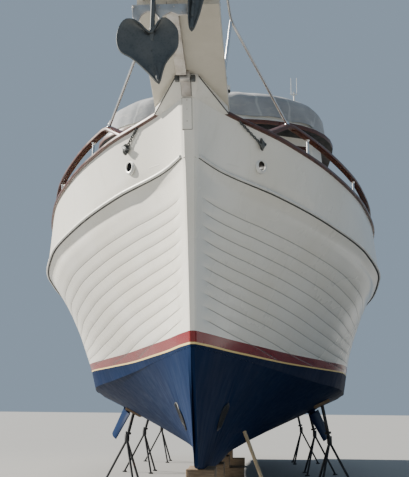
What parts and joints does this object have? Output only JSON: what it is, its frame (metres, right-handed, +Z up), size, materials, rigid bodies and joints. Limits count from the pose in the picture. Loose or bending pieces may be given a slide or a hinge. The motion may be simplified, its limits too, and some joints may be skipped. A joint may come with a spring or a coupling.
{
  "type": "trawler yacht on keel blocks and jack stands",
  "caption": "Displacement trawler yacht with raised deckhouse, covered flybridge, pulpit and trunk cabins, stored ashore on keel blocks and jack stands.",
  "frame": {"origin": "on the floor, under the middle of the boat's plan", "axes": "+Z up, bow towards -Y and stern towards +Y, port side towards +X"},
  "size_m": [4.774, 16.3216, 8.18],
  "materials": {
    "gelcoat": "gloss warm white gelcoat, with a red boot stripe and blue bottom paint on the hull",
    "antifouling": "matte blue bottom paint",
    "teak": "dark varnished teak",
    "steel": "polished stainless steel",
    "galvanised": "dull galvanised",
    "glass": "tinted window glass",
    "canvas": "grey canvas",
    "cushion": "woven upholstery",
    "bronze": "weathered bronze",
    "timber": "rough sawn timber",
    "stand_paint": "worn dark paint",
    "engine_paint": "green engine paint"
  },
  "bodies": {
    "boat": {"hull": "gelcoat", "bulwark_port": "gelcoat", "bulwark_starboard": "gelcoat", "rudder_shoe": "bronze", "rub_strip": "steel", "cap_rail": "teak", "handrail": "teak", "rail_frame": "steel", "pulpit_platform": "gelcoat", "pulpit_base": "gelcoat", "stem_plate": "steel", "bow_roller": "steel", "anchor_starboard": "galvanised", "anchor_port": "galvanised", "pulpit_rail": "steel", "windlass": "galvanised", "hawse_ring_port": "steel", "hawse_ring_starboard": "steel", "forward_cabin": "gelcoat", "deckhouse_walls": "gelcoat", "glass_front": "glass", "glass_port": "glass", "glass_starboard": "glass", "glass_aft": "glass", "deckhouse_roof": "gelcoat", "flybridge_coaming": "gelcoat", "flybridge_cover": "canvas", "searchlight": "gelcoat", "mast": "gelcoat", "antenna": "gelcoat", "saloon_sole": "teak", "engine": "engine_paint", "helm_console": "teak", "helm_seat": "cushion", "settee": "cushion", "aft_cabin": "gelcoat", "swim_platform": "teak", "thruster_leg": "bronze", "keel_block_1": "timber", "keel_block_2": "timber", "keel_block_3": "timber", "keel_block_4": "timber", "jack_stand_port_fore": "stand_paint", "jack_stand_port_middle": "stand_paint", "jack_stand_port_aft": "stand_paint", "jack_stand_starboard_fore": "stand_paint", "jack_stand_starboard_middle": "stand_paint", "jack_stand_starboard_aft": "stand_paint"},
    "forward_hatch_lid": {"forward_hatch": "teak"},
    "port_door": {"side_door_port": "teak"},
    "starboard_door": {"side_door_starboard": "teak"},
    "aft_door": {"aft_cabin_door": "teak"},
    "boom_arm": {"boom": "gelcoat"},
    "steering_wheel": {"helm_wheel": "teak"},
    "rudder_blade": {"rudder": "antifouling"},
    "main_propeller": {"propeller": "bronze"},
    "bow_thruster": {"thruster_propeller": "bronze"},
    "port_fin": {"fin_port": "antifouling"},
    "starboard_fin": {"fin_starboard": "antifouling"}
  },
  "joints": [
    {"name": "forward_hatch_hinge", "type": "hinge", "parent": "boat", "child": "forward_hatch_lid", "pos_m": [0, -4.3508, 3.692], "axis": [1, 0, 0], "range_deg": [0, 80]},
    {"name": "port_door_slide", "type": "slide", "parent": "boat", "child": "port_door", "axis": [0, 1, 0], "range_m": [0, 0.8]},
    {"name": "starboard_door_slide", "type": "slide", "parent": "boat", "child": "starboard_door", "axis": [0, 1, 0], "range_m": [0, 0.8]},
    {"name": "aft_door_hinge", "type": "hinge", "parent": "boat", "child": "aft_door", "pos_m": [-0.324, 5.5587, 3.32], "axis": [0, 0, 1], "range_deg": [0, 100]},
    {"name": "boom_swing", "type": "hinge", "parent": "boat", "child": "boom_arm", "pos_m": [0, 2.1992, 6.15], "axis": [0, 0, 1], "range_deg": [-75, 75]},
    {"name": "helm_turn", "type": "hinge", "parent": "boat", "child": "steering_wheel", "pos_m": [-0.62, -2.1408, 3.63], "axis": [0, -1, 0], "range_deg": [-630, 630]},
    {"name": "rudder_turn", "type": "hinge", "parent": "boat", "child": "rudder_blade", "pos_m": [0, 6.5092, 0.78], "axis": [0, 0, 1], "range_deg": [-35, 35]},
    {"name": "propeller_spin", "type": "hinge", "parent": "boat", "child": "main_propeller", "pos_m": [0, 6.09, 0.75], "axis": [0, 1, 0], "continuous": true},
    {"name": "thruster_spin", "type": "hinge", "parent": "boat", "child": "bow_thruster", "pos_m": [0.075, -4.4908, 1.16], "axis": [1, 0, 0], "continuous": true},
    {"name": "port_fin_turn", "type": "hinge", "parent": "boat", "child": "port_fin", "pos_m": [1.56, 0.2492, 1.23155], "axis": [0.4289, 0, -0.9033], "range_deg": [-42, 5]},
    {"name": "starboard_fin_turn", "type": "hinge", "parent": "boat", "child": "starboard_fin", "pos_m": [-1.56, 0.2492, 1.23155], "axis": [-0.4289, 0, -0.9033], "range_deg": [-5, 42]}
  ],
  "couplings": [
    {"joint": "rudder_turn", "follows": "helm_turn", "ratio": 0.055}
  ]
}
